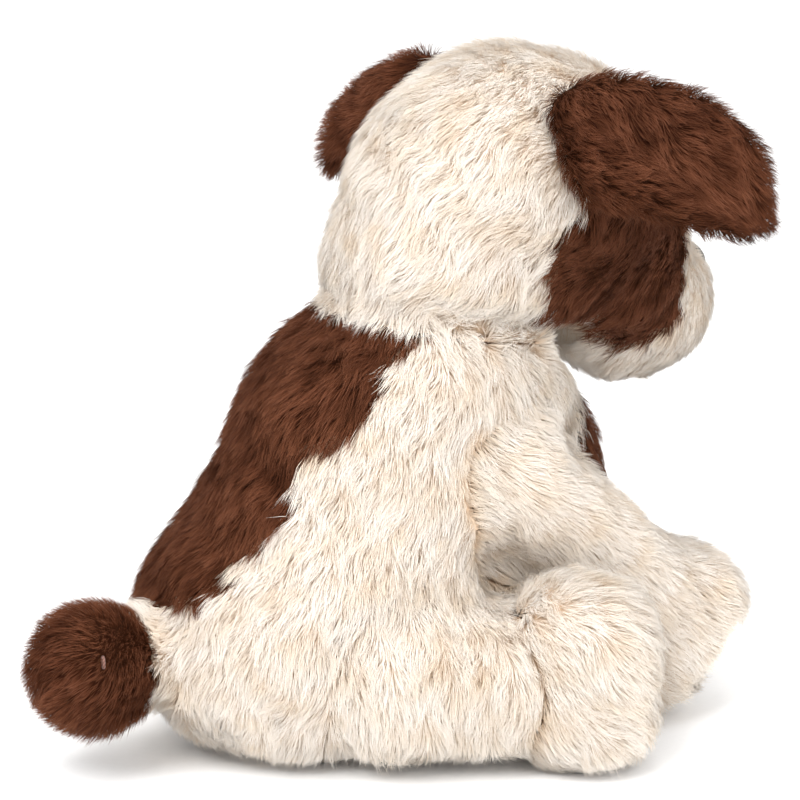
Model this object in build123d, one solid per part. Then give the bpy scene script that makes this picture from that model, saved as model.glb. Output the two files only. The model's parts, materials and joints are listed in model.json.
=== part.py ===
from build123d import *
import math
import os

# A seated soft toy dog, in millimetres. +Z is up, the dog faces -Y and its own left is +X.
# The origin is the middle of the flat base panel it sits on.
# Sides are named as the dog's own. Each soft part is a cloth cover, cut into its sewn
# panels, over a stuffing body, and each sewn-on limb turns about its own seam.

# Cloth and gaps
CLOTH = 1.6                    # backing cloth with the pressed root of the pile
LOOSE = 0.3                    # the stuffing stops this far inside its cover
SEAM_GAP = 0.5                 # between two parts that move against each other
FLOOR_GAP = 0.3                # feet and paws stand this far above the base panel's face

# Torso: height, half width, half depth and middle in y of each level
TORSO_LEVELS = (
    (0, 26, 32, -2),
    (5, 38, 46, -2),
    (18, 53, 64, -4),
    (46, 61, 76, -8),
    (82, 57, 76, -30),
    (112, 52, 62, -34),
    (138, 44, 47, -37),
    (166, 30, 32, -42),
)
BASE_PANEL_HEIGHT = 3
CHEST_HALF_WIDTH = 18          # the chest between the front legs
BELLY_HALF_WIDTH = 40          # the belly between the hind legs
CHEST_PATCH_HEIGHT = 90
CHEST_PATCH = (16.5, 21)         # half width and half height
BACK_PATCH_FRONT = -38         # how far forward the back patch reaches round the shoulders

# Neck
NECK = (0, -46, 150)           # the point that the head turns and nods about
NECK_TILT = 10                 # the neck leans forward
NECK_BALL = 36
NECK_FLOOR = -6                # the neck stuffing's flat underside, along the neck axis
HEAD_COLLAR = 43               # radius of the head's lower edge, round the neck's middle
HEAD_RIM = 4                   # the head cover's lower rim, along the neck axis
SEAM_THREAD = 0.8

# Head, in its own frame about the middle of the skull
HEAD_AT = (0, -75, 187)
HEAD_TURN = 8                  # the head looks a little to the dog's left
SKULL = (50, 60, 51)
NAPE_AT = (0, 20, -18)          # the back of the skull is fuller low down
NAPE = (44, 48, 40)
SNOUT_AT = (0, -34, -24)
SNOUT = (39, 37, 35)
JAW = -22                      # the jaw is cut off behind this, to clear the neck
MUZZLE_AT = (0, -56, -44.5)
MUZZLE = (30, 31.5, 28)
MUZZLE_SEAM = -52              # the muzzle cover starts here, along the snout
CHIN_LEVEL = 143.7             # the patch parts the right side from the chin below this height
EYE_PATCH_AT = (-26, -25, -17)
EYE_PATCH_AIM = (-0.95, -0.31, 0.0)
EYE_PATCH = (44, 38)           # half width and half height of the patch round the right eye

# Eyes and nose
EYE_SIDE = 15
EYE_UP = 7
EYE_RADIUS = 7
EYE_STAND = 3.3                # how far the dome stands proud of the cloth
POST_RADIUS = 1.8
POST_LENGTH = 9
WASHER_RADIUS = 7
WASHER_THICKNESS = 1.6
NOSE_UP = -33
NOSE = (10, 5.5, 7)
MOUTH_THREAD = 0.8

# Ears: points along the middle of each flap, in the head's frame
RIGHT_EAR = ((-48, 14, 24), (-62, 8, 28), (-82, -3, 25.5), (-97, -14, 20), (-107, -21, 12))
LEFT_EAR = ((45, 4, 29), (61, 4, 28), (78, 3, 20), (91, 3, 12), (100, 3, 3))
EAR_HALF_WIDTH = (18, 22, 23, 20, 10)
EAR_HALF_THICKNESS = (4, 7.5, 8, 7, 3)
EAR_GAP = 0.1                  # between an ear's two panels
RIGHT_LEAN = (32, 26, 18, 10, 6)  # how far an ear's upper edge leans towards the head, in degrees
LEFT_LEAN = (38, 40, 36, 28, 18)

# Front legs
SHOULDER = (39, -50, 96)
ARM_SLOPE = 41                 # below the horizontal
ARM_RADIUS = 20
WRIST_RADIUS = 17.5
ARM_LENGTH = 80                # shoulder to wrist
PAW = (20, 14.5, 29)           # half width, half thickness, half height
PAW_AHEAD = 14                 # the paw's middle lies this far beyond the wrist
PAW_RISE = 4                   # and this far up the sole
PAW_ROUND = 13
ARM_CEILING = 117              # the torso is full width again above this height

# Hind legs
HIP = (40.5, -4, 33)
HIP_RADIUS = 29
SPLAY = 30                     # each hind leg points this far outwards
LEG_LENGTH = 34                # hip to ankle
ANKLE_RADIUS = 23.5
ANKLE_GAP = 1.2                # the foot is hollowed this far round the ankle, so that it can tilt
HIP_SIDE = 43                  # the leg's middle line starts this far out
FOOT = (44, 50, 64)            # width, length and height
FOOT_AHEAD = 28                # the foot's middle lies this far beyond the ankle
FOOT_ROUND = 19.5
SOLE_DEPTH = 8
LEG_CEILING = 66
FOOT_CEILING = 82              # the torso leaves more room above the feet,
FOOT_ROOM_BACK = -28           # in front of this

# Tail
TAIL_ROOT = (0, 64, 39)
TAIL_ROOT_RADIUS = 14
TAIL_SWING = 0.42              # sine of the tail's swing to one side
TAIL_BALL_AT = (0, 91, 38)
TAIL_BALL = 20
TAIL_SEAM = 75                 # where the brown end of the tail begins
LOOP_RADIUS = 1.8
LOOP_THREAD = 0.5

FAR = 400                      # larger than the whole toy


def ellipsoid(at, radii, inset=0.0):
    return Pos(*at) * scale(Sphere(1), by=tuple(r - inset for r in radii))


def block_between(low, high):
    size = [high[i] - low[i] for i in range(3)]
    middle = [(high[i] + low[i]) / 2 for i in range(3)]
    return Pos(*middle) * Box(*size)


def save(shape, node):
    export_step(shape, f"parts/{node}.step")


def limb(start, end, radius_start, radius_end):
    """A round limb with ball ends, between two points."""
    run = Vector(*end) - Vector(*start)
    side = math.sqrt(0.5)
    foot = ThreePointArc((0, -radius_start), (side * radius_start, -side * radius_start), (radius_start, 0))
    wall = Line((radius_start, 0), (radius_end, run.length))
    middle = (side * radius_end, run.length + side * radius_end)
    head = ThreePointArc((radius_end, run.length), middle, (0, run.length + radius_end))
    axis = Line((0, run.length + radius_end), (0, -radius_start))
    profile = make_face(Plane.XZ * (foot + wall + head + axis))
    return Plane(origin=start, z_dir=run) * revolve(profile, Axis.Z)


def mirrored(shape, side):
    """The shapes of the limbs are drawn on the dog's left."""
    return shape if side == "left" else mirror(shape, about=Plane.YZ)


# ---------------------------------------------------------------- neck

def neck_frame():
    tilt = math.radians(NECK_TILT)
    return Plane(origin=NECK, x_dir=(1, 0, 0), z_dir=(0, -math.sin(tilt), math.cos(tilt)))


def above_neck(height):
    """Everything above a level along the neck axis."""
    return neck_frame() * Pos(0, 0, height + FAR / 2) * Box(FAR, FAR, FAR)


def below_neck(height):
    return neck_frame() * Pos(0, 0, height - FAR / 2) * Box(FAR, FAR, FAR)


def neck_parts():
    dome = Pos(*NECK) * Sphere(NECK_BALL) - below_neck(NECK_FLOOR)
    ring = neck_frame() * Pos(0, 0, NECK_FLOOR + SEAM_THREAD) * Torus(NECK_BALL + 0.9, SEAM_THREAD)
    save(dome, "neck_stuffing")
    save(ring, "neck_seam_thread")


# ---------------------------------------------------------------- torso

def torso_form(inset):
    sections = []
    for height, half_width, half_depth, middle in TORSO_LEVELS:
        outline = Ellipse(half_width - inset, half_depth - inset)
        sections.append(Pos(0, middle, height) * outline)
    return loft(sections)


def limb_room(inset):
    """The space that the legs, the tail and the neck take out of the torso."""
    gap = SEAM_GAP + inset
    room = above_neck(NECK_FLOOR - gap)
    room += Pos(*TAIL_ROOT) * Sphere(TAIL_ROOT_RADIUS + gap)
    start = -TAIL_ROOT_RADIUS * TAIL_SWING - inset
    opening = Plane(origin=TAIL_ROOT, z_dir=(0, 1, 0)) * Pos(0, 0, FAR / 2 + start)
    room += opening * Cylinder(TAIL_ROOT_RADIUS * (1 + TAIL_SWING / 4) + gap, FAR)
    for sign in (-1, 1):
        arm = Pos(sign * (CHEST_HALF_WIDTH - inset + FAR / 2), SHOULDER[1], SHOULDER[2])
        room += arm * Rot(0, 90, 0) * Cylinder(ARM_RADIUS + gap, FAR)
        room += arm * Rot(ARM_SLOPE, 0, 0) * Pos(0, -FAR / 2, 0) * Box(FAR, FAR, 2 * (ARM_RADIUS + gap))
        near, far = sorted((sign * (CHEST_HALF_WIDTH - inset), sign * FAR))
        room += block_between((near, -FAR, -FAR), (far, SHOULDER[1], ARM_CEILING + inset))
        hip = Pos(sign * (BELLY_HALF_WIDTH - inset + FAR / 2), HIP[1], HIP[2])
        room += hip * Rot(0, 90, 0) * Cylinder(HIP_RADIUS + 2 + gap, FAR)
        near, far = sorted((sign * (BELLY_HALF_WIDTH - inset), sign * FAR))
        room += block_between((near, -FAR, -FAR), (far, HIP[1], LEG_CEILING + inset))
        room += block_between((near, -FAR, 0), (far, FOOT_ROOM_BACK + inset, FOOT_CEILING + inset))
    return room


def torso_solid(inset):
    solid = torso_form(inset) - limb_room(inset)
    if inset:
        solid -= block_between((-FAR, -FAR, -FAR), (FAR, FAR, inset))
    return solid


def back_patch_room():
    """The patch covers the back, and reaches further forward above the front legs."""
    points = [
        (-27, 152), (-30, 140), (-34, 128), (-32, 119), (-22, 113), (-22, 103), (-27, 92), (-22, 80),
        (-20, 70), (-8, 62), (6, 56), (18, 53), (32, 60), (40, 76), (44, 104), (40, 152),
    ]
    outline = Plane.XZ * make_face(Spline(*points, periodic=True))
    room = extrude(outline, amount=FAR, dir=(0, 1, 0))
    upper = Pos(0, BACK_PATCH_FRONT, 0) * extrude(outline, amount=FAR, dir=(0, 1, 0))
    return room + (upper & block_between((-FAR, -FAR, ARM_CEILING + 3), (FAR, FAR, FAR)))


def chest_patch_room():
    outline = Plane.XZ * Pos(0, CHEST_PATCH_HEIGHT) * Ellipse(*CHEST_PATCH)
    return Pos(0, SHOULDER[1], 0) * extrude(outline, amount=FAR, dir=(0, -1, 0))


def torso_parts():
    cover = torso_solid(0) - torso_solid(CLOTH)
    base = cover & block_between((-FAR, -FAR, -1), (FAR, FAR, BASE_PANEL_HEIGHT))
    rest = cover - block_between((-FAR, -FAR, -1), (FAR, FAR, BASE_PANEL_HEIGHT))
    back = rest & back_patch_room()
    rest -= back_patch_room()
    chest = rest & chest_patch_room()
    rest -= chest_patch_room()
    save(base, "torso_base_panel")
    save(back, "torso_back_patch")
    save(chest, "torso_chest_patch")
    save(rest & block_between((0, -FAR, -1), (FAR, FAR, FAR)), "torso_side_left")
    save(rest & block_between((-FAR, -FAR, -1), (0, FAR, FAR)), "torso_side_right")
    save(torso_solid(CLOTH + LOOSE), "torso_stuffing")


# ---------------------------------------------------------------- head

def head_location():
    return Location(HEAD_AT, (0, 0, HEAD_TURN))


def head_solid(inset):
    place = head_location()
    solid = place * ellipsoid((0, 0, 0), SKULL, inset) + Pos(*NECK) * Sphere(HEAD_COLLAR - inset)
    solid += place * ellipsoid(NAPE_AT, NAPE, inset)
    solid -= below_neck(HEAD_RIM + inset)
    solid += place * (ellipsoid(SNOUT_AT, SNOUT, inset) - block_between((-FAR, JAW, -FAR), (FAR, FAR, FAR)))
    solid += place * ellipsoid(MUZZLE_AT, MUZZLE, inset)
    return solid - Pos(*NECK) * Sphere(NECK_BALL + SEAM_GAP + inset)


def skull_point(side, up):
    """A point on the front of the skull, and the way it faces, in the head's frame."""
    a, b, c = SKULL
    y = -b * math.sqrt(1 - (side / a) ** 2 - (up / c) ** 2)
    return (side, y, up), Vector(side / a**2, y / b**2, up / c**2).normalized()


def muzzle_point(side, up):
    a, b, c = MUZZLE
    rise = up - MUZZLE_AT[2]
    y = -b * math.sqrt(1 - (side / a) ** 2 - (rise / c) ** 2)
    return (side, MUZZLE_AT[1] + y, up), Vector(side / a**2, y / b**2, rise / c**2).normalized()


def post_room(point, facing, clearance):
    """The hole through the cloth for a post, and the pocket for its washer."""
    plane = Plane(origin=point, z_dir=facing)
    depth = POST_LENGTH + clearance
    hole = plane * Pos(0, 0, 1 - depth / 2) * Cylinder(POST_RADIUS + clearance, depth + 2)
    pocket_height = POST_LENGTH - CLOTH
    pocket = Pos(0, 0, -CLOTH - pocket_height / 2) * Cylinder(WASHER_RADIUS + clearance, pocket_height)
    return hole, plane * pocket


def lock_washer(point, facing):
    plane = Plane(origin=point, z_dir=facing)
    level = -CLOTH - 2.4 - WASHER_THICKNESS / 2
    washer = Cylinder(WASHER_RADIUS, WASHER_THICKNESS) - Cylinder(POST_RADIUS + 0.05, 3)
    return head_location() * (plane * Pos(0, 0, level) * washer)


def safety_eye(point, facing):
    plane = Plane(origin=point, z_dir=facing)
    dome = Pos(0, 0, EYE_STAND - EYE_RADIUS) * Sphere(EYE_RADIUS)
    dome &= Pos(0, 0, 10 + 0.8) * Box(30, 30, 20)
    post = Pos(0, 0, 1 - POST_LENGTH / 2) * Cylinder(POST_RADIUS, POST_LENGTH)
    return head_location() * (plane * (dome + post))


def button_nose(point, facing):
    plane = Plane(origin=point, x_dir=(1, 0, 0), z_dir=facing)
    a, b, c = NOSE
    pad = scale(Sphere(1), by=(a, c, b)) & Pos(0, 0, 10 + 1.7) * Box(40, 40, 20)
    post = Pos(0, 0, 2 - POST_LENGTH / 2) * Cylinder(POST_RADIUS, POST_LENGTH)
    return head_location() * (plane * (pad + post))


def mouth_thread():
    """One line down from the nose that parts into two curves, lying on the muzzle."""
    stand = MOUTH_THREAD + 0.15
    solid = None
    stem = [(0, -42), (0, -45), (0, -48)]
    left = [(3, -51), (9, -56.5), (16, -56.5)]
    runs = [stem, left, [(-side, up) for side, up in left]]
    for run in runs:
        points = []
        for side, up in run:
            place, facing = muzzle_point(side, up)
            points.append(Vector(*place) + facing * stand)
        path = Spline(*points)
        tube = sweep(Plane(origin=path @ 0, z_dir=path % 0) * Circle(MOUTH_THREAD), path=path)
        solid = tube if solid is None else solid + tube
    return head_location() * solid


def eye_patch_room():
    plane = Plane(origin=EYE_PATCH_AT, x_dir=(-EYE_PATCH_AIM[1], EYE_PATCH_AIM[0], 0), z_dir=EYE_PATCH_AIM)
    outline = plane * Ellipse(*EYE_PATCH)
    return head_location() * extrude(outline, amount=FAR)


def head_parts():
    cover = head_solid(0) - head_solid(CLOTH)
    stuffing = head_solid(CLOTH + LOOSE)
    fittings = {
        "eye_right": skull_point(-EYE_SIDE, EYE_UP),
        "eye_left": skull_point(EYE_SIDE, EYE_UP),
        "nose": muzzle_point(0, NOSE_UP),
    }
    for node, (point, facing) in fittings.items():
        hole, pocket = post_room(point, facing, 0.1)
        cover -= head_location() * hole
        stuffing -= head_location() * (hole + pocket)
        make = button_nose if node == "nose" else safety_eye
        save(make(point, facing), node)
        save(lock_washer(point, facing), node + "_washer")
    front = block_between((-FAR, -FAR, -FAR), (FAR, MUZZLE_SEAM, -12))
    muzzle = cover & head_location() * front
    rest = cover - head_location() * front
    patch = rest & eye_patch_room()
    rest -= eye_patch_room()
    left = head_location() * block_between((0, -FAR, -FAR), (FAR, FAR, FAR))
    save(muzzle, "muzzle_cover")
    save(patch, "eye_patch")
    save(rest & left, "head_side_left")
    right = rest - left
    chin = block_between((-FAR, -FAR, -FAR), (FAR, FAR, CHIN_LEVEL))
    save(right - chin, "head_side_right")
    save(right & chin, "head_chin_right")
    save(stuffing, "head_stuffing")
    save(mouth_thread(), "mouth_stitch")


# ---------------------------------------------------------------- ears

def half_section(half_width, half_thickness, side):
    """Half of an ellipse, on one side of the flap's middle."""
    upper_half = Pos(0, side * (half_thickness + EAR_GAP / 2)) * Rectangle(4 * half_width, 2 * half_thickness)
    return Ellipse(half_width, half_thickness) & upper_half


def ear_panel(points, leans, side):
    """One of the two panels of an ear: +1 is the outer one, -1 the lining."""
    out = 1 if points[0][0] > 0 else -1
    sections = []
    for i, point in enumerate(points):
        before = Vector(*points[max(i - 1, 0)])
        after = Vector(*points[min(i + 1, len(points) - 1)])
        along = (after - before).normalized()
        lean = math.radians(leans[i])
        upward = Vector(-out * math.sin(lean), 0, math.cos(lean))
        across = (along - upward * along.dot(upward)).normalized()
        plane = Plane(origin=point, x_dir=upward, z_dir=across * out)
        sections.append(plane * half_section(EAR_HALF_WIDTH[i], EAR_HALF_THICKNESS[i], side * out))
    return head_location() * loft(sections)


def ear_parts():
    for name, points, leans in (("left", LEFT_EAR, LEFT_LEAN), ("right", RIGHT_EAR, RIGHT_LEAN)):
        save(ear_panel(points, leans, 1), f"ear_outer_{name}")
        save(ear_panel(points, leans, -1), f"ear_lining_{name}")


# ---------------------------------------------------------------- front legs

def arm_frame():
    slope = math.radians(ARM_SLOPE)
    return Plane(origin=SHOULDER, x_dir=(1, 0, 0), z_dir=(0, -math.cos(slope), -math.sin(slope)))


def rounded_block(size, radius, inset):
    block = Box(*(s - 2 * inset for s in size))
    return fillet(block.edges(), radius - inset)


def arm_solid(inset):
    shoulder = Vector(*SHOULDER)
    wrist = shoulder + arm_frame().z_dir * ARM_LENGTH
    return limb(tuple(shoulder), tuple(wrist), ARM_RADIUS - inset, WRIST_RADIUS - inset)


def paw_solid(inset):
    size = (2 * PAW[0], 2 * PAW[2], 2 * PAW[1])
    return arm_frame() * Pos(0, -PAW_RISE, ARM_LENGTH + PAW_AHEAD) * rounded_block(size, PAW_ROUND, inset)


def front_leg_parts():
    solid = arm_solid(0) + paw_solid(0)
    cover = solid - (arm_solid(CLOTH) + paw_solid(CLOTH))
    beyond_wrist = arm_frame() * Pos(0, 0, ARM_LENGTH + 1 + FAR / 2) * Box(FAR, FAR, FAR)
    sole_level = ARM_LENGTH + PAW_AHEAD + PAW[1] - 4
    beyond_sole = arm_frame() * Pos(0, 0, sole_level + FAR / 2) * Box(FAR, FAR, FAR)
    stuffing = arm_solid(CLOTH + LOOSE) + paw_solid(CLOTH + LOOSE)
    nodes = {
        "front_leg_cover": cover - beyond_wrist,
        "front_paw_cover": (cover & beyond_wrist) - beyond_sole,
        "front_paw_sole": cover & beyond_sole,
        "front_leg_stuffing": stuffing,
    }
    for side in ("left", "right"):
        for node, shape in nodes.items():
            save(mirrored(shape, side), f"{node}_{side}")


# ---------------------------------------------------------------- hind legs and feet

def leg_aim():
    splay = math.radians(SPLAY)
    return Vector(math.sin(splay), -math.cos(splay), 0)


def ankle():
    return Vector(HIP_SIDE, HIP[1], HIP[2] - 2) + leg_aim() * LEG_LENGTH


def thigh_solid(inset):
    hip = (HIP_SIDE, HIP[1], HIP[2])
    thigh = limb(hip, tuple(ankle()), HIP_RADIUS - inset, ANKLE_RADIUS - inset)
    return thigh - block_between((-FAR, -FAR, -FAR), (HIP[0] + inset, FAR, FAR))


def foot_frame():
    middle = ankle() + leg_aim() * FOOT_AHEAD
    middle = Vector(middle.X, middle.Y, FLOOR_GAP + FOOT[2] / 2)
    return Plane(origin=middle, x_dir=leg_aim().cross(Vector(0, 0, 1)), z_dir=(0, 0, 1))


def foot_solid(inset):
    block = foot_frame() * rounded_block(FOOT, FOOT_ROUND, inset)
    return block - Pos(*ankle()) * Sphere(ANKLE_RADIUS + ANKLE_GAP + inset)


def hind_leg_parts():
    cover = thigh_solid(0) - thigh_solid(CLOTH)
    stuffing = thigh_solid(CLOTH + LOOSE)
    foot_cover = foot_solid(0) - foot_solid(CLOTH)
    foot_stuffing = foot_solid(CLOTH + LOOSE)
    front = foot_frame() * Pos(0, FOOT[1] / 2 - SOLE_DEPTH + FAR / 2, 0) * Box(FAR, FAR, FAR)
    nodes = {
        "hind_leg_cover": cover,
        "hind_leg_stuffing": stuffing,
        "hind_foot_cover": foot_cover - front,
        "hind_foot_sole": foot_cover & front,
        "hind_foot_stuffing": foot_stuffing,
    }
    for side in ("left", "right"):
        for node, shape in nodes.items():
            save(mirrored(shape, side), f"{node}_{side}")


# ---------------------------------------------------------------- tail

def tail_solid(inset):
    run = Vector(*TAIL_BALL_AT) - Vector(*TAIL_ROOT)
    stem = Plane(origin=TAIL_ROOT, z_dir=run) * Pos(0, 0, run.length / 2)
    stem *= Cylinder(TAIL_ROOT_RADIUS - inset, run.length)
    root = Pos(*TAIL_ROOT) * Sphere(TAIL_ROOT_RADIUS - inset)
    return stem + root + Pos(*TAIL_BALL_AT) * Sphere(TAIL_BALL - inset)


def tail_parts():
    cover = tail_solid(0) - tail_solid(CLOTH)
    tip = block_between((-FAR, TAIL_SEAM, -FAR), (FAR, FAR, FAR))
    save(cover - tip, "tail_base_cover")
    save(cover & tip, "tail_tip_cover")
    save(tail_solid(CLOTH + LOOSE), "tail_stuffing")
    facing = Vector(-0.89, 0.25, 0.39).normalized()
    place = Vector(*TAIL_BALL_AT) + facing * (TAIL_BALL + LOOP_RADIUS + LOOP_THREAD + 0.1)
    save(Plane(origin=place, z_dir=(0.27, 0.96, 0)) * Torus(LOOP_RADIUS, LOOP_THREAD), "tail_thread_loop")


os.makedirs("parts", exist_ok=True)
torso_parts()
neck_parts()
head_parts()
ear_parts()
front_leg_parts()
hind_leg_parts()
tail_parts()
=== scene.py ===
import json
import math

import bmesh
import bpy
import numpy as np
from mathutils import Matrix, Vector, kdtree
from mathutils.bvhtree import BVHTree


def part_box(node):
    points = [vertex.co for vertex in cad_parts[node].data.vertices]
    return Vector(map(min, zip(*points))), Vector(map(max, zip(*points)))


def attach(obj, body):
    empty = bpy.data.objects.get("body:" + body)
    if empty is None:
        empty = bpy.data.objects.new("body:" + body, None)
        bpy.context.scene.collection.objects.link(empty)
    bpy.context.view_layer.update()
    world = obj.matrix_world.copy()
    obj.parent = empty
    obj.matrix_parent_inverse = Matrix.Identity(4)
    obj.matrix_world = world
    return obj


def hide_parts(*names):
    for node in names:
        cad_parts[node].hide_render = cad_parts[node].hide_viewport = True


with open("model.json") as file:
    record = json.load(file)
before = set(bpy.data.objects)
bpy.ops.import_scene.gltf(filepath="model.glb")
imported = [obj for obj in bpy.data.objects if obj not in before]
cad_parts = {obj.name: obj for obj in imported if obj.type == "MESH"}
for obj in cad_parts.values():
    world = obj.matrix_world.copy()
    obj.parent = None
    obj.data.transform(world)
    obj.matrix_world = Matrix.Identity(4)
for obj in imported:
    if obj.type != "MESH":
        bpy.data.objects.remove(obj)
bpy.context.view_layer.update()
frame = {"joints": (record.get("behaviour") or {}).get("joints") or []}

# A seated soft toy dog. Every soft part is a padded skin, remeshed round its CAD filling,
# and a pile of fine tapered strands that grow from that skin in combed tufts.
# Lengths are in metres, as in the frame; MM turns millimetres into metres.
MM = 0.001
SEED = 20

# Camera and light
AIM = Vector((0.0, -0.030, 0.1175))
AZIMUTH = math.radians(240)
ELEVATION = math.radians(14)
DISTANCE = 1.2
LENS = 152.6
SENSOR = 36.0
WORLD_STRENGTH = 1.10

# Skins
VOXEL = 3.0 * MM
SMOOTH_ROUNDS = 10
SMOOTH_FACTOR = 0.5
SKIN_RISE = 1.4 * MM           # the skin stands this far outside the CAD filling
PANEL_RISE = 0.35 * MM         # a patch panel lies this far outside the skin
PANEL_THICKNESS = 1.2 * MM
PANEL_REACH = 2.6 * MM         # the skin this near to a CAD panel belongs to the patch

# Pile
STRANDS_PER_MM2 = 2.7
STRAND_RADIUS = 0.10 * MM
MIDDLE_SHARE = 0.8             # of that radius, halfway up a strand
SOFT_SHADING = {"cream_plush": 0.72, "brown_plush": 0.4}  # share of the skin's shading in a strand's
MOST_STRANDS = 19500           # in one piece
FLOOR_CLEARANCE = 0.35 * MM
FORM_RISE = 1.0 * MM           # the outline that the pile follows stands this far off the skins
FORM_ROUNDS = 8
LAST_ROUNDS = 3                # once more after the outline has been drawn back in
GROOVE_FILL = 8.0 * MM         # grooves between the torso and its limbs are filled to this radius
CREASE_FILL = 2.5 * MM         # and those at the neck and the ankles to this one
SHOULDER_REACH = 10.0 * MM     # the pile of a front leg reaches this far over the torso,
SHOULDER_FADE = (34 * MM, 50 * MM)  # fading out between these distances from the shoulder
FORM_REACH = 9.0 * MM          # no root stands farther than this from its own skin's box
RAISE_REACH = 6.0 * MM         # a root deeper than this under a skin is left there, out of sight
ROOT_DEPTH = 0.8 * MM          # the roots stand this far inside that outline
ROOT_CLEARANCE = 0.2 * MM      # and never less than this far outside a skin
SHORTEST = 1.0 * MM            # shorter strands are left out


# ---------------------------------------------------------------- small helpers

def unit(vectors):
    return vectors / np.maximum(np.linalg.norm(vectors, axis=1), 1e-12)[:, None]


def wobble(points, size, seed):
    """A smooth random vector at each point, made of waves of about one length."""
    rng = np.random.default_rng(seed)
    total = np.zeros_like(points)
    for _ in range(7):
        wave = rng.normal(size=3)
        wave *= 2 * math.pi / (size * rng.uniform(0.7, 1.5) * np.linalg.norm(wave))
        phase = rng.uniform(0, 2 * math.pi, 3)
        total += np.sin((points @ wave)[:, None] + phase) * rng.normal(size=3)
    return total / math.sqrt(7)


def smooth_step(value, low, high):
    share = np.clip((value - low) / (high - low), 0, 1)
    return share * share * (3 - 2 * share)


def add_object(name, mesh):
    piece = bpy.data.objects.new(name, mesh)
    bpy.context.scene.collection.objects.link(piece)
    return piece


def apply_modifiers(piece):
    graph = bpy.context.evaluated_depsgraph_get()
    mesh = bpy.data.meshes.new_from_object(piece.evaluated_get(graph))
    piece.modifiers.clear()
    piece.data = mesh
    mesh.name = piece.name
    return mesh


def add_voxels(piece, size):
    remesh = piece.modifiers.new("remesh", "REMESH")
    remesh.mode = "VOXEL"
    remesh.voxel_size = size


def add_relax(piece, rounds):
    relax = piece.modifiers.new("relax", "SMOOTH")
    relax.factor = SMOOTH_FACTOR
    relax.iterations = rounds


def read_vertices(mesh):
    flat = np.empty(len(mesh.vertices) * 3)
    mesh.vertices.foreach_get("co", flat)
    return flat.reshape(-1, 3)


def read_normals(mesh):
    flat = np.empty(len(mesh.vertices) * 3)
    mesh.vertex_normals.foreach_get("vector", flat)
    return flat.reshape(-1, 3)


def write_vertices(mesh, points):
    mesh.vertices.foreach_set("co", points.ravel())
    mesh.update()


def offset_mesh(mesh, distance):
    """Moves every vertex along its normal."""
    write_vertices(mesh, read_vertices(mesh) + read_normals(mesh) * distance)


def tree_of(node):
    """A search tree over one CAD node or piece."""
    mesh = bpy.data.objects[node].data
    corners = [tuple(v.co) for v in mesh.vertices]
    return BVHTree.FromPolygons(corners, [tuple(p.vertices) for p in mesh.polygons])


def distance_to(points, trees, reach):
    """Distance from each point to the nearest of some trees, or reach where that is nearer."""
    result = np.full(len(points), reach)
    for tree in trees:
        for i, point in enumerate(points):
            found = tree.find_nearest(point, reach)
            if found[0] is not None and found[3] < result[i]:
                result[i] = found[3]
    return result


# ---------------------------------------------------------------- materials

def new_material(name):
    material = bpy.data.materials.new(name)
    material.use_nodes = True
    tree = material.node_tree
    tree.nodes.clear()
    output = tree.nodes.new("ShaderNodeOutputMaterial")
    shader = tree.nodes.new("ShaderNodeBsdfPrincipled")
    tree.links.new(shader.outputs["BSDF"], output.inputs["Surface"])
    return material, tree, shader


def ramp_node(tree, factor, stops):
    ramp = tree.nodes.new("ShaderNodeValToRGB")
    elements = ramp.color_ramp.elements
    while len(elements) < len(stops):
        elements.new(0.5)
    for element, (place, colour) in zip(elements, stops):
        element.position = place
        element.color = (*colour, 1)
    tree.links.new(factor, ramp.inputs["Fac"])
    return ramp.outputs["Color"]


def mix_colours(tree, factor, first, second):
    mix = tree.nodes.new("ShaderNodeMix")
    mix.data_type = "RGBA"
    tree.links.new(factor, mix.inputs["Factor"])
    tree.links.new(first, mix.inputs["A"])
    tree.links.new(second, mix.inputs["B"])
    return mix.outputs["Result"]


def strand_material(name, plain, warm, roughness, specular):
    """Fibre colour from root to tip, darker at the root partly as painted shade deep in the pile, between a
    plain and a warm tone that each strand mixes; the warm tone also carries painted shade in seams and
    folds.
    """
    material, tree, shader = new_material(name)
    uv = tree.nodes.new("ShaderNodeUVMap")
    uv.uv_map = "OFBake"
    split = tree.nodes.new("ShaderNodeSeparateXYZ")
    tree.links.new(uv.outputs["UV"], split.inputs["Vector"])
    tone, along = split.outputs["X"], split.outputs["Y"]
    colour = mix_colours(tree, tone, ramp_node(tree, along, plain), ramp_node(tree, along, warm))
    tree.links.new(colour, shader.inputs["Base Color"])
    shader.inputs["Roughness"].default_value = roughness
    shader.inputs["Specular IOR Level"].default_value = specular
    return material


def noise_node(tree, scale, detail, vector=None):
    noise = tree.nodes.new("ShaderNodeTexNoise")
    noise.inputs["Scale"].default_value = scale
    noise.inputs["Detail"].default_value = detail
    if vector is None:
        vector = tree.nodes.new("ShaderNodeTexCoord").outputs["Object"]
    tree.links.new(vector, noise.inputs["Vector"])
    return noise.outputs["Fac"]


def bump(tree, shader, height, depth, strength):
    node = tree.nodes.new("ShaderNodeBump")
    node.inputs["Strength"].default_value = strength
    node.inputs["Distance"].default_value = depth
    tree.links.new(height, node.inputs["Height"])
    tree.links.new(node.outputs["Normal"], shader.inputs["Normal"])


def backing_material(name, deep, light):
    """Knitted backing cloth that shows dimly between the strands, its colour darker and warmer than the
    fibres as painted shade under the pile.
    """
    material, tree, shader = new_material(name)
    patchy = noise_node(tree, 90, 4)
    tree.links.new(ramp_node(tree, patchy, [(0.3, deep), (0.7, light)]), shader.inputs["Base Color"])
    knit = tree.nodes.new("ShaderNodeTexVoronoi")
    knit.inputs["Scale"].default_value = 1100
    coordinates = tree.nodes.new("ShaderNodeTexCoord")
    tree.links.new(coordinates.outputs["Object"], knit.inputs["Vector"])
    bump(tree, shader, knit.outputs["Distance"], 0.3 * MM, 0.7)
    shader.inputs["Roughness"].default_value = 0.95
    shader.inputs["Specular IOR Level"].default_value = 0.05
    return material


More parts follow.
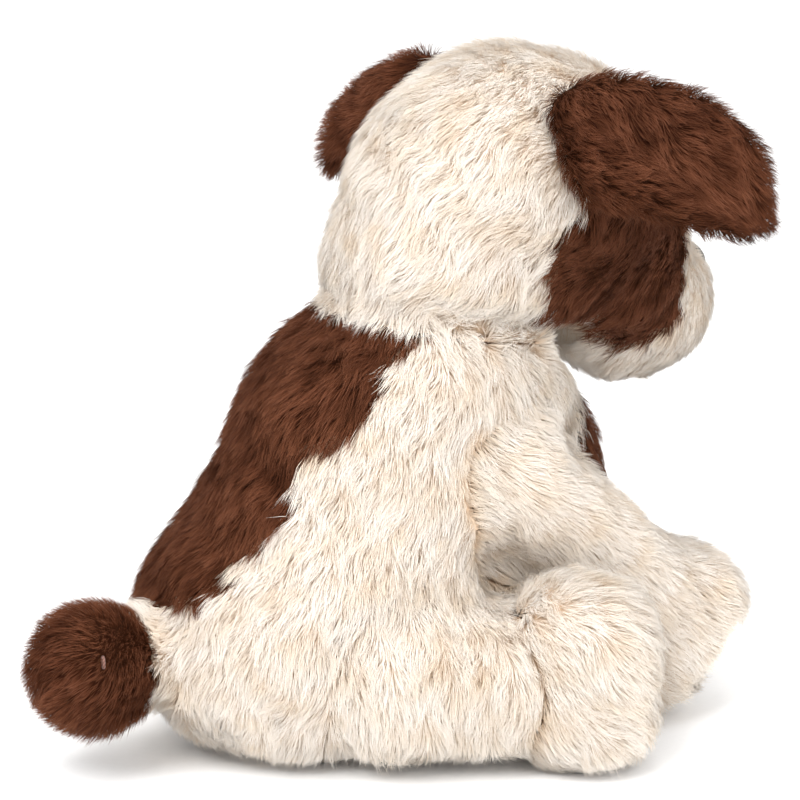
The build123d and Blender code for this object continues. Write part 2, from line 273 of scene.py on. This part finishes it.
def plastic_material(name, deep, light, roughness, specular):
    """Moulded plastic with a faint cloudiness and fine handling marks."""
    material, tree, shader = new_material(name)
    cloud = noise_node(tree, 160, 3)
    tree.links.new(ramp_node(tree, cloud, [(0.35, deep), (0.65, light)]), shader.inputs["Base Color"])
    marks = noise_node(tree, 2500, 6)
    bump(tree, shader, marks, 0.02 * MM, 0.35)
    shader.inputs["Roughness"].default_value = roughness
    shader.inputs["Specular IOR Level"].default_value = specular
    return material


def thread_material(name, deep, light):
    """Twisted sewing thread: diagonal ridges and a soft shine."""
    material, tree, shader = new_material(name)
    coordinates = tree.nodes.new("ShaderNodeTexCoord")
    twist = tree.nodes.new("ShaderNodeTexWave")
    twist.wave_type = "BANDS"
    twist.bands_direction = "DIAGONAL"
    twist.inputs["Scale"].default_value = 450
    twist.inputs["Distortion"].default_value = 1.5
    tree.links.new(coordinates.outputs["Object"], twist.inputs["Vector"])
    stripes = ramp_node(tree, twist.outputs["Fac"], [(0.2, deep), (0.8, light)])
    tree.links.new(stripes, shader.inputs["Base Color"])
    bump(tree, shader, twist.outputs["Fac"], 0.15 * MM, 0.8)
    shader.inputs["Roughness"].default_value = 0.6
    shader.inputs["Sheen Weight"].default_value = 0.2
    return material


# Both fibre ramps darken towards the root: partly the fibres' own colour, partly painted shade deep in the
# pile. The second, warmer ramp is both a random tone and painted shade in seams and folds.
CREAM_FUR = strand_material(
    "cream_strands",
    [(0.0, (0.84, 0.70, 0.56)), (0.3, (0.88, 0.785, 0.68)), (0.65, (0.90, 0.835, 0.76)),
     (1.0, (0.905, 0.85, 0.785))],
    [(0.0, (0.62, 0.43, 0.28)), (0.3, (0.75, 0.58, 0.42)), (0.65, (0.83, 0.71, 0.57)),
     (1.0, (0.86, 0.765, 0.645))],
    0.7, 0.15,
)
BROWN_FUR = strand_material(
    "brown_strands",
    [(0.0, (0.026, 0.007, 0.001)), (0.4, (0.085, 0.026, 0.010)), (0.8, (0.200, 0.072, 0.036)),
     (1.0, (0.32, 0.135, 0.078))],
    [(0.0, (0.012, 0.003, 0.001)), (0.4, (0.034, 0.009, 0.003)), (0.8, (0.070, 0.021, 0.008)),
     (1.0, (0.10, 0.034, 0.015))],
    0.6, 0.05,
)
# The backings' darker, warmer colours are painted shade under the pile.
CREAM_BACKING = backing_material("cream_backing", (0.66, 0.47, 0.32), (0.78, 0.60, 0.44))
BROWN_BACKING = backing_material("brown_backing", (0.022, 0.007, 0.003), (0.045, 0.015, 0.006))
EYE_PLASTIC = plastic_material("eye_black", (0.004, 0.003, 0.003), (0.012, 0.008, 0.006), 0.08, 0.28)
NOSE_PLASTIC = plastic_material("nose_dark", (0.012, 0.007, 0.006), (0.030, 0.017, 0.013), 0.34, 0.22)
WASHER_PLASTIC = plastic_material("washer_white", (0.70, 0.69, 0.66), (0.80, 0.79, 0.76), 0.45, 0.5)
DARK_THREAD = thread_material("dark_thread", (0.010, 0.006, 0.005), (0.045, 0.026, 0.020))
PALE_THREAD = thread_material("pale_thread", (0.62, 0.47, 0.34), (0.76, 0.62, 0.48))
PINK_THREAD = thread_material("pink_thread", (0.13, 0.055, 0.038), (0.24, 0.11, 0.08))


# ---------------------------------------------------------------- skins

def largest_shell(mesh):
    """Keeps the largest connected shell of a mesh."""
    shape = bmesh.new()
    shape.from_mesh(mesh)
    left = set(shape.verts)
    shells = []
    while left:
        todo = [left.pop()]
        shell = list(todo)
        while todo:
            for edge in todo.pop().link_edges:
                for vertex in edge.verts:
                    if vertex in left:
                        left.remove(vertex)
                        shell.append(vertex)
                        todo.append(vertex)
        shells.append(shell)
    shells.sort(key=len)
    for shell in shells[:-1]:
        bmesh.ops.delete(shape, geom=shell, context="VERTS")
    shape.to_mesh(mesh)
    shape.free()


def make_skin(
    name, nodes, body, slot, replaced, fill, voxel=VOXEL, rounds=SMOOTH_ROUNDS, rise=SKIN_RISE
):
    """A padded skin remeshed round the CAD filling, relaxed until its edges are soft."""
    shape = bmesh.new()
    for node in nodes:
        shape.from_mesh(bpy.data.objects[node].data)
    mesh = bpy.data.meshes.new(name)
    shape.to_mesh(mesh)
    shape.free()
    skin = add_object(name, mesh)
    add_voxels(skin, voxel)
    add_relax(skin, rounds)
    mesh = apply_modifiers(skin)
    largest_shell(mesh)
    points = read_vertices(mesh) + read_normals(mesh) * rise
    points[:, 2] = np.maximum(points[:, 2], FLOOR_CLEARANCE)
    write_vertices(mesh, points)
    mesh.shade_smooth()
    mesh.materials.append(BROWN_BACKING if slot == "brown_plush" else CREAM_BACKING)
    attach(skin, body)
    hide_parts(*replaced)
    return skin


# ---------------------------------------------------------------- pile

def scatter(mesh, density, rng):
    """Evenly scattered points on a mesh, with the smooth normal at each."""
    mesh.calc_loop_triangles()
    corners = np.empty(len(mesh.loop_triangles) * 3, dtype=np.int32)
    mesh.loop_triangles.foreach_get("vertices", corners)
    corners = corners.reshape(-1, 3)
    points, normals = read_vertices(mesh), read_normals(mesh)
    a, b, c = (points[corners[:, k]] for k in range(3))
    area = np.linalg.norm(np.cross(b - a, c - a), axis=1) / 2
    number = int(area.sum() / MM**2 * density)
    place = (np.arange(number) + rng.random(number)) / number * area.sum()
    picked = corners[np.minimum(np.searchsorted(np.cumsum(area), place), len(area) - 1)]
    root, side = np.sqrt(rng.random(number)), rng.random(number)
    shares = (1 - root, root * (1 - side), root * side)
    spots = sum(share[:, None] * points[picked[:, k]] for k, share in enumerate(shares))
    facing = sum(share[:, None] * normals[picked[:, k]] for k, share in enumerate(shares))
    return spots, unit(facing)


def along_surface(vectors, normals):
    return unit(vectors - normals * np.sum(vectors * normals, axis=1)[:, None])


def grow(roots, normals, comb, length, coat, rng):
    """Middle and tip of every strand: combed, lifted and gathered into small wisps.

    The comb wanders over about 4 cm and ruffles over about 1 cm.
    """
    number = len(roots)
    comb = unit(comb) + wobble(roots, 38 * MM, SEED + 1) * coat["swirl"]
    comb += wobble(roots, 13 * MM, SEED + 3) * coat["ruffle"]
    flow = along_surface(comb, normals)
    lift = coat["lift"] + 0.10 * wobble(roots, 26 * MM, SEED + 2)[:, 0]
    lift += 0.08 * wobble(roots, 11 * MM, SEED + 4)[:, 1]
    wisps = rng.choice(number, max(1, int(number / coat["per_wisp"])), replace=False)
    search = kdtree.KDTree(len(wisps))
    for i, index in enumerate(wisps):
        search.insert(roots[index], i)
    search.balance()
    owner = np.array([search.find(root)[1] for root in roots])
    wisp_turn = rng.normal(size=(len(wisps), 3)) * coat["wisp_turn"]
    wisp_lift = rng.normal(size=len(wisps)) * coat["wisp_lift"]
    wisp_length = rng.uniform(0.84, 1.12, len(wisps))
    flow = along_surface(flow + wisp_turn[owner] + rng.normal(size=(number, 3)) * coat["stray"], normals)
    lift = np.clip(lift + wisp_lift[owner] + rng.normal(size=number) * 0.08, 0.12, 1.45)
    length = length * wisp_length[owner] * rng.uniform(0.74, 1.06, number)
    rise = np.minimum(lift * 1.35, 1.5)
    sink = lift * coat["bend"]
    first = normals * np.sin(rise)[:, None] + flow * np.cos(rise)[:, None]
    second = normals * np.sin(sink)[:, None] + flow * np.cos(sink)[:, None]
    middles = roots + first * (length * 0.5)[:, None]
    tips = middles + second * (length * 0.5)[:, None]
    heart = wisps[owner]
    gather = (coat["gather"] * rng.uniform(0.6, 1.1, number))[:, None]
    offset = roots - roots[heart]
    tips = tips + (tips[heart] + offset * 0.15 - tips) * gather
    middles = middles + (middles[heart] + offset * 0.7 - middles) * gather * 0.6
    for level in (middles, tips):
        level[:, 2] = np.maximum(level[:, 2], FLOOR_CLEARANCE)
    return middles, tips


def strand_mesh(name, softness, roots, middles, tips, normals, tones, radius):
    """Closed three-sided tapered strands, with a map of tone across and root to tip up."""
    number = len(roots)
    rings, shading = [], []
    first_axis = unit(middles - roots)
    second_axis = unit(tips - middles)
    middle_axis = unit(first_axis + second_axis)
    for centre, direction, share in ((roots, first_axis, 1.0), (middles, middle_axis, MIDDLE_SHARE)):
        across = unit(np.cross(direction, normals) + 1e-6)
        upward = np.cross(direction, across)
        for k in range(3):
            angle = 2 * math.pi * k / 3 + math.pi / 2
            offset = across * math.cos(angle) + upward * math.sin(angle)
            rings.append(centre + offset * (radius * share)[:, None])
            shading.append(offset if k == 0 else offset * (1 - softness) + normals * softness)
    rings.append(tips)
    shading.append(normals)
    points = np.stack(rings, axis=1).reshape(-1, 3)
    pattern = np.array(
        [(2, 1, 0), (0, 1, 4), (0, 4, 3), (1, 2, 5), (1, 5, 4),
         (2, 0, 3), (2, 3, 5), (3, 4, 6), (4, 5, 6), (5, 3, 6)],
        dtype=np.int32,
    )
    faces = (pattern[None] + 7 * np.arange(number, dtype=np.int32)[:, None, None]).reshape(-1, 3)
    mesh = bpy.data.meshes.new(name)
    mesh.vertices.add(len(points))
    mesh.vertices.foreach_set("co", points.astype(np.float32).ravel())
    mesh.loops.add(faces.size)
    mesh.loops.foreach_set("vertex_index", faces.ravel())
    mesh.polygons.add(len(faces))
    mesh.polygons.foreach_set("loop_start", np.arange(0, faces.size, 3, dtype=np.int32))
    mesh.polygons.foreach_set("use_smooth", np.ones(len(faces), bool))
    along = np.array([0.02, 0.02, 0.02, 0.5, 0.5, 0.5, 0.98])
    uv = np.empty((number, 7, 2))
    uv[:, :, 0] = tones[:, None]
    uv[:, :, 1] = along
    layer = mesh.uv_layers.new(name="OFBake")
    layer.uv.foreach_set("vector", uv.reshape(-1, 2)[faces.ravel()].astype(np.float32).ravel())
    mesh.update(calc_edges=True)
    mesh.validate()
    mesh.normals_split_custom_set_from_vertices(unit(np.stack(shading, axis=1).reshape(-1, 3)))
    return mesh


def add_pile(name, body, slot, strands):
    """Links the strands of one colour on one body, as pieces of at most MOST_STRANDS."""
    roots = strands[0]
    if len(roots) == 0:
        return
    order = np.argsort(roots[:, 2] + 0.3 * roots[:, 1], kind="stable")
    count = math.ceil(len(order) / MOST_STRANDS)
    for number, chosen in enumerate(np.array_split(order, count), 1):
        piece_name = name if count == 1 else f"{name}_{number}"
        mesh = strand_mesh(piece_name, SOFT_SHADING[slot], *(values[chosen] for values in strands))
        mesh.materials.append(BROWN_FUR if slot == "brown_plush" else CREAM_FUR)
        piece = add_object(piece_name, mesh)
        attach(piece, body)


# How each coat lies: length in millimetres, angles in radians, the rest as shares
LONG_COAT = {
    "length": 11.0, "lift": 0.50, "bend": 0.40, "swirl": 0.34, "ruffle": 0.24, "per_wisp": 8,
    "wisp_turn": 0.13, "wisp_lift": 0.06, "stray": 0.15, "gather": 0.32,
}
BALL_COAT = dict(LONG_COAT, length=8.5, lift=0.95, bend=0.75, swirl=0.5)
EAR_COAT = dict(LONG_COAT, length=9.5, lift=0.50)


# ---------------------------------------------------------------- the dog's parts

def skin_of_part(name, nodes, body, slot, fill, replaced, **options):
    skin = make_skin(name, nodes, body, slot, replaced, fill, **options)
    return {"skin": skin, "body": body, "tree": tree_of(skin.name), "slot": slot}


PARTS = {
    "torso": skin_of_part(
        "torso_skin", ["torso_stuffing"], "torso", "cream_plush", 0.7,
        ["torso_stuffing", "torso_side_left", "torso_side_right", "torso_base_panel"],
    ),
    "neck": skin_of_part("neck_skin", ["neck_stuffing"], "neck", "cream_plush", 0.7, ["neck_stuffing"]),
    "head": skin_of_part(
        "head_skin", ["head_stuffing"], "head", "cream_plush", 0.85,
        ["head_stuffing", "head_side_left", "head_side_right", "head_chin_right", "muzzle_cover"],
        voxel=4 * MM,
    ),
    "tail": skin_of_part("tail_skin", ["tail_stuffing"], "tail", "cream_plush", 0.8, ["tail_stuffing"]),
}
for side in ("left", "right"):
    PARTS[f"front_leg_{side}"] = skin_of_part(
        f"front_leg_skin_{side}", [f"front_leg_stuffing_{side}"], f"front_leg_{side}", "cream_plush", 0.75,
        [f"front_leg_stuffing_{side}", f"front_leg_cover_{side}", f"front_paw_cover_{side}",
         f"front_paw_sole_{side}"],
    )
    PARTS[f"hind_leg_{side}"] = skin_of_part(
        f"hind_leg_skin_{side}", [f"hind_leg_stuffing_{side}"], f"hind_leg_{side}", "cream_plush", 0.75,
        [f"hind_leg_stuffing_{side}", f"hind_leg_cover_{side}"],
    )
    PARTS[f"hind_foot_{side}"] = skin_of_part(
        f"hind_foot_skin_{side}", [f"hind_foot_stuffing_{side}"], f"hind_foot_{side}", "cream_plush", 0.75,
        [f"hind_foot_stuffing_{side}", f"hind_foot_cover_{side}", f"hind_foot_sole_{side}"],
    )
EARS = {
    side: skin_of_part(
        f"ear_skin_{side}", [f"ear_outer_{side}", f"ear_lining_{side}"], f"ear_{side}", "brown_plush", 0.5,
        [f"ear_outer_{side}", f"ear_lining_{side}"], voxel=2 * MM, rounds=6, rise=0.3 * MM,
    )
    for side in ("left", "right")
}


def make_panel(name, part, node, body, slot):
    """A sewn-in patch of cloth: the skin beside its CAD panel, lifted clear and given a thickness."""
    mesh = PARTS[part]["skin"].data
    points, normals = read_vertices(mesh), read_normals(mesh)
    near = distance_to(points, [tree_of(node)], 2 * PANEL_REACH) < PANEL_REACH
    shape = bmesh.new()
    made = {}
    for face in mesh.polygons:
        if all(near[i] for i in face.vertices):
            for i in face.vertices:
                if i not in made:
                    made[i] = shape.verts.new(points[i] + normals[i] * (PANEL_RISE + PANEL_THICKNESS))
            shape.faces.new([made[i] for i in face.vertices])
    panel_mesh = bpy.data.meshes.new(name)
    shape.to_mesh(panel_mesh)
    shape.free()
    panel = add_object(name, panel_mesh)
    thicken = panel.modifiers.new("thicken", "SOLIDIFY")
    thicken.thickness = PANEL_THICKNESS
    thicken.offset = -1
    apply_modifiers(panel)
    panel.data.shade_smooth()
    panel.data.materials.append(BROWN_BACKING if slot == "brown_plush" else CREAM_BACKING)
    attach(panel, body)
    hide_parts(node)


make_panel("back_patch_panel", "torso", "torso_back_patch", "torso", "brown_plush")
make_panel("chest_patch_panel", "torso", "torso_chest_patch", "torso", "brown_plush")
make_panel("eye_patch_panel", "head", "eye_patch", "head", "brown_plush")
make_panel("tail_base_panel", "tail", "tail_base_cover", "tail", "cream_plush")
make_panel("tail_tip_panel", "tail", "tail_tip_cover", "tail", "brown_plush")


def outline_round(meshes, rise, fill):
    """One closed outline round some skins, raised off them and with its narrow grooves filled."""
    shape = bmesh.new()
    for source in meshes:
        mesh = source.copy()
        offset_mesh(mesh, rise + fill)
        shape.from_mesh(mesh)
        bpy.data.meshes.remove(mesh)
    mesh = bpy.data.meshes.new("outline")
    shape.to_mesh(mesh)
    shape.free()
    outline = add_object("outline", mesh)
    add_voxels(outline, VOXEL)
    add_relax(outline, FORM_ROUNDS)
    mesh = apply_modifiers(outline)
    largest_shell(mesh)
    offset_mesh(mesh, -fill)
    add_relax(outline, LAST_ROUNDS)
    mesh = apply_modifiers(outline)
    bpy.data.objects.remove(outline)
    return mesh


def make_form():
    """The outline of the whole dog but its ears, that the pile grows from."""
    loose = [name for name in PARTS if name == "head" or name.startswith("hind_foot")]
    joined = [part["skin"].data for name, part in PARTS.items() if name not in loose]
    body = outline_round(joined, 0.0, GROOVE_FILL)
    form = outline_round([body] + [PARTS[name]["skin"].data for name in loose], FORM_RISE, CREASE_FILL)
    bpy.data.meshes.remove(body)
    return form


def raised_clear(points):
    """The points, with those that lie under a skin lifted to just above it."""
    points = points.copy()
    for part in PARTS.values():
        corners = read_vertices(part["skin"].data)
        low, high = corners.min(axis=0), corners.max(axis=0)
        for i in np.flatnonzero(np.all((points > low) & (points < high), axis=1)):
            place, facing, _, gap = part["tree"].find_nearest(points[i])
            if gap < RAISE_REACH and (Vector(points[i]) - place).dot(facing) < ROOT_CLEARANCE:
                points[i] = place + facing * ROOT_CLEARANCE
    return points


def owners(points):
    """The part nearest to each point, and how close the next part is behind it."""
    first, second = np.full((2, len(points)), 1.0)
    owner = np.zeros(len(points), dtype=int)
    runner = np.zeros(len(points), dtype=int)
    from_shoulder = np.min([np.linalg.norm(points - place, axis=1) for place in SHOULDERS_AT], axis=0)
    reach = SHOULDER_REACH * (1 - smooth_step(from_shoulder, *SHOULDER_FADE))
    for k, part in enumerate(PARTS.values()):
        corners = read_vertices(part["skin"].data)
        low, high = corners.min(axis=0) - FORM_REACH, corners.max(axis=0) + FORM_REACH
        for i in np.flatnonzero(np.all((points > low) & (points < high), axis=1)):
            gap = part["tree"].find_nearest(points[i])[3] - reach[i] * part["body"].startswith("front_leg")
            if gap < first[i]:
                second[i], runner[i] = first[i], owner[i]
                first[i], owner[i] = gap, k
            elif gap < second[i]:
                second[i], runner[i] = gap, k
    return owner, runner, second - first


def middle_of(node):
    low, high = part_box(node)
    return np.array((low + high) / 2)


NOSE_AT = middle_of("nose")
EYES_AT = [middle_of(f"eye_{side}") for side in ("left", "right")]
NECK_AT = middle_of("neck_seam_thread")
SHOULDERS_AT = [
    np.array(joint["pos_m"]) for joint in frame["joints"] if joint["name"].startswith("shoulder")
]


# Pile on the face: bare to this distance in millimetres, full from that one, and the least share
NOSE_RING = (8.6, 12.0, 0.9)
EYE_RING = (6.4, 11.0, 0.5)
MOUTH_RING = (1.6, 7.0, 0.5)
MUZZLE_SHORTER = 0.34


def comb_direction(part, points, normals):
    """Which way the pile of each part is brushed."""
    count = len(points)
    side = -1.0 if part.endswith("right") else 1.0
    if part == "head":
        return unit(points - NOSE_AT) + np.array((0.0, 0.0, -0.8))
    if part == "tail":
        return np.tile((0.0, 0.95, -0.30), (count, 1))
    if part.startswith("front_leg"):
        return np.tile((0.0, -0.75, -0.65), (count, 1))
    if part.startswith("hind_leg"):
        return np.tile((side * 0.25, 0.1, -0.95), (count, 1))
    if part.startswith("hind_foot"):
        return np.tile((side * 0.35, -0.60, -0.70), (count, 1))
    near_neck = 1 - smooth_step(np.linalg.norm(points - NECK_AT, axis=1), 38 * MM, 52 * MM)
    down = np.tile((0.0, 0.35, -1.0), (count, 1))
    return down * (1 - near_neck)[:, None] + normals * np.array((1, 1, 0)) * near_neck[:, None]


def ring_share(gap, bare, full, least):
    """No pile nearer than bare, and from the share least there up to all of it at full."""
    return np.where(gap < bare * MM, 0, least + (1 - least) * smooth_step(gap, bare * MM, full * MM))


def face_length(points):
    """Share of the full pile length: short on the muzzle, none over the eyes, nose and mouth."""
    from_muzzle = distance_to(points, [tree_of("muzzle_cover")], 30 * MM)
    share = 1 - MUZZLE_SHORTER * (1 - smooth_step(from_muzzle, 2 * MM, 26 * MM))
    share *= ring_share(np.linalg.norm(points - NOSE_AT, axis=1), *NOSE_RING)
    for place in EYES_AT:
        share *= ring_share(np.linalg.norm(points - place, axis=1), *EYE_RING)
    return share * ring_share(distance_to(points, [tree_of("mouth_stitch")], 8 * MM), *MOUTH_RING)


# Parts that meet at a seam or in a fold: how short the pile is there and how warm and dark, as painted
# shade in the crease, and how far from it
SEAMS = {
    ("torso", "front_leg"): (0.8, 5 * MM),
    ("hind_leg", "hind_foot"): (1.0, 5 * MM),
    ("tail", "torso"): (0.4, 5 * MM),
    ("torso", "hind_leg"): (0.3, 4 * MM),
    ("front_leg", "hind_leg"): (1.0, 18 * MM),
    ("front_leg", "hind_foot"): (0.8, 10 * MM),
}


def seam_strength(points, owner, runner, gap):
    """How much of a sewn seam or fold shows: the pile is drawn in, and its strands are tinted warmer and
    darker as painted shade in the crease.
    """
    names = np.array([name.replace("_left", "").replace("_right", "") for name in PARTS])
    first, second = names[owner], names[runner]
    strength = np.zeros(len(points))
    for (one, other), (share, width) in SEAMS.items():
        beside = ((first == one) & (second == other)) | ((first == other) & (second == one))
        strength[beside] = share * (1 - smooth_step(gap[beside], 0.5 * MM, width))
        if one == "torso" and other == "front_leg":
            strength[beside] *= smooth_step(points[beside, 1] - SHOULDERS_AT[0][1], -8 * MM, 6 * MM)
    return strength


def in_patch(roots, normals, node, reach=3.0 * MM):
    """Roots that stand on a patch, whose edge is ragged where tufts cross it."""
    probe = roots + wobble(roots, 12 * MM, SEED + 9) * 1.8 * MM
    probe += wobble(roots, 5 * MM, SEED + 10) * 1.0 * MM
    probe -= normals * np.sum((probe - roots) * normals, axis=1)[:, None]
    low, high = (np.array(corner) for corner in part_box(node))
    result = np.all((probe > low - 8 * MM) & (probe < high + 8 * MM), axis=1)
    near = np.flatnonzero(result)
    result[near] = distance_to(probe[near], [tree_of(node)], 10 * MM) < reach
    return result


def tones_of(roots, warm, rng):
    """The tone of each strand: patchy over the coat, and warmer and darker where warm says, as painted
    shade in seams and folds.
    """
    patchy = 0.14 * wobble(roots, 30 * MM, SEED + 5)[:, 0]
    patchy += 0.17 * wobble(roots, 9 * MM, SEED + 6)[:, 1]
    return np.clip(0.28 + patchy + 0.16 * rng.normal(size=len(roots)) + warm, 0.02, 0.98)


def scatter_roots(mesh, rng):
    return scatter(mesh, STRANDS_PER_MM2 * (1), rng)


def thickness_of(count, rng):
    return STRAND_RADIUS * rng.uniform(0.75, 1.2, count) * 1.0


def cover_form():
    """Grows the pile of the whole dog but its ears."""
    rng = np.random.default_rng(SEED)
    form = make_form()
    roots, normals = scatter_roots(form, rng)
    owner, runner, gap = owners(roots)
    seams = seam_strength(roots, owner, runner, gap)
    roots = raised_clear(roots - normals * ROOT_DEPTH)
    roots[:, 2] = np.maximum(roots[:, 2], FLOOR_CLEARANCE)
    for k, (part, facts) in enumerate(PARTS.items()):
        chosen = owner == k
        spots, facing, seam = roots[chosen], normals[chosen], seams[chosen]
        comb = comb_direction(part, spots, facing)
        coat = BALL_COAT if part == "tail" else LONG_COAT
        near_floor = 0.5 + 0.5 * smooth_step(spots[:, 2], 1 * MM, 14 * MM)
        length = coat["length"] * MM * (1 - 0.35 * seam) * near_floor
        brown = np.zeros(len(spots), bool)
        if part == "head":
            length *= face_length(spots)
            brown = in_patch(spots, facing, "eye_patch")
        elif part == "torso":
            chest = in_patch(spots, facing, "torso_chest_patch", reach=7 * MM)
            brown = in_patch(spots, facing, "torso_back_patch") | chest
        elif part == "tail":
            ragged = spots + wobble(spots, 7 * MM, SEED + 8) * 1.2 * MM
            brown = ragged[:, 1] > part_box("tail_tip_cover")[0].y
        middles, tips = grow(spots, facing, comb, length, coat, rng)
        # painted shade: near seams and folds the strands turn warmer and darker
        tones = tones_of(spots, 0.65 * seam, rng)
        radius = thickness_of(len(spots), rng)
        strands = (spots, middles, tips, facing, tones, radius)
        standing = length > SHORTEST
        for colour, which in (("cream", standing & ~brown), ("brown", standing & brown)):
            kept = [values[which] for values in strands]
            add_pile(f"{part}_{colour}_pile", facts["body"], f"{colour}_plush", kept)
    bpy.data.meshes.remove(form)


def cover_ear(side):
    rng = np.random.default_rng(SEED + (1 if side == "left" else 2))
    ear = EARS[side]
    roots, normals = scatter_roots(ear["skin"].data, rng)
    sign = 1.0 if side == "left" else -1.0
    comb = np.tile((sign, -0.25, -0.45), (len(roots), 1))
    length = np.full(len(roots), EAR_COAT["length"] * MM)
    middles, tips = grow(roots, normals, comb, length, EAR_COAT, rng)
    tones = tones_of(roots, 0.0, rng)
    radius = thickness_of(len(roots), rng)
    add_pile(f"ear_{side}_pile", ear["body"], "brown_plush", (roots, middles, tips, normals, tones, radius))


cover_form()
for side in ("left", "right"):
    cover_ear(side)


# ---------------------------------------------------------------- small CAD parts

FINISHES = {
    "eye_left": EYE_PLASTIC, "eye_right": EYE_PLASTIC, "nose": NOSE_PLASTIC,
    "eye_left_washer": WASHER_PLASTIC, "eye_right_washer": WASHER_PLASTIC, "nose_washer": WASHER_PLASTIC,
    "mouth_stitch": DARK_THREAD, "neck_seam_thread": PALE_THREAD, "tail_thread_loop": PINK_THREAD,
}
for node, material in FINISHES.items():
    for material_slot in bpy.data.objects[node].material_slots:
        material_slot.material = material


# ---------------------------------------------------------------- floor, light and camera

def make_floor():
    """A pale floor that curves up into a backdrop behind the dog."""
    half, bend, top, steps = 6.0, 1.5, 4.0, 12
    profile = [(-half, 0.0)]
    for k in range(steps + 1):
        angle = math.pi / 2 * k / steps
        profile.append((half - bend + bend * math.sin(angle), bend - bend * math.cos(angle)))
    profile.append((half, top))
    shape = bmesh.new()
    back = Vector((-math.sin(AZIMUTH), math.cos(AZIMUTH), 0))
    across = Vector((math.cos(AZIMUTH), math.sin(AZIMUTH), 0))
    rows = []
    for along, height in profile:
        rise = Vector((0, 0, height))
        rows.append([shape.verts.new(back * along + across * edge * half + rise) for edge in (-1, 1)])
    for first, second in zip(rows, rows[1:]):
        shape.faces.new((first[0], first[1], second[1], second[0]))
    bmesh.ops.recalc_face_normals(shape, faces=shape.faces)
    mesh = bpy.data.meshes.new("floor")
    shape.to_mesh(mesh)
    shape.free()
    mesh.shade_smooth()
    material, tree, shader = new_material("studio_paper")
    grain = noise_node(tree, 400, 2)
    paper = ramp_node(tree, grain, [(0.3, (0.95, 0.95, 0.95)), (0.7, (0.97, 0.97, 0.97))])
    tree.links.new(paper, shader.inputs["Base Color"])
    shader.inputs["Roughness"].default_value = 0.9
    mesh.materials.append(material)
    floor = add_object("floor", mesh)


def place_round_dog(name, data, azimuth, elevation, distance):
    """Links a light or a camera that looks at the dog from a direction, in radians."""
    level = math.cos(elevation)
    back = Vector((math.sin(azimuth) * level, -math.cos(azimuth) * level, math.sin(elevation)))
    placed = bpy.data.objects.new(name, data)
    placed.location = AIM + back * distance
    placed.rotation_euler = back.to_track_quat("Z", "Y").to_euler()
    bpy.context.scene.collection.objects.link(placed)
    return placed


def add_area(name, azimuth, elevation, distance, size, power):
    """A soft square light, with its direction in degrees."""
    light = bpy.data.lights.new(name, "AREA")
    light.shape = "SQUARE"
    light.size = size
    light.energy = power
    place_round_dog(name, light, math.radians(azimuth), math.radians(elevation), distance)


def make_lights():
    world = bpy.data.worlds.new("studio")
    world.use_nodes = True
    background = world.node_tree.nodes["Background"]
    background.inputs["Color"].default_value = (1.0, 1.0, 1.0, 1)
    background.inputs["Strength"].default_value = WORLD_STRENGTH
    bpy.context.scene.world = world
    add_area("key", azimuth=205, elevation=48, distance=1.6, size=0.9, power=18)
    add_area("fill", azimuth=285, elevation=30, distance=1.8, size=1.2, power=9)
    add_area("top", azimuth=240, elevation=85, distance=1.7, size=1.2, power=9)


def make_camera():
    data = bpy.data.cameras.new("camera")
    data.lens = LENS
    data.sensor_width = SENSOR
    bpy.context.scene.camera = place_round_dog("camera", data, AZIMUTH, ELEVATION, DISTANCE)


make_floor()
make_lights()
make_camera()
bpy.context.scene.view_settings.view_transform = "Standard"
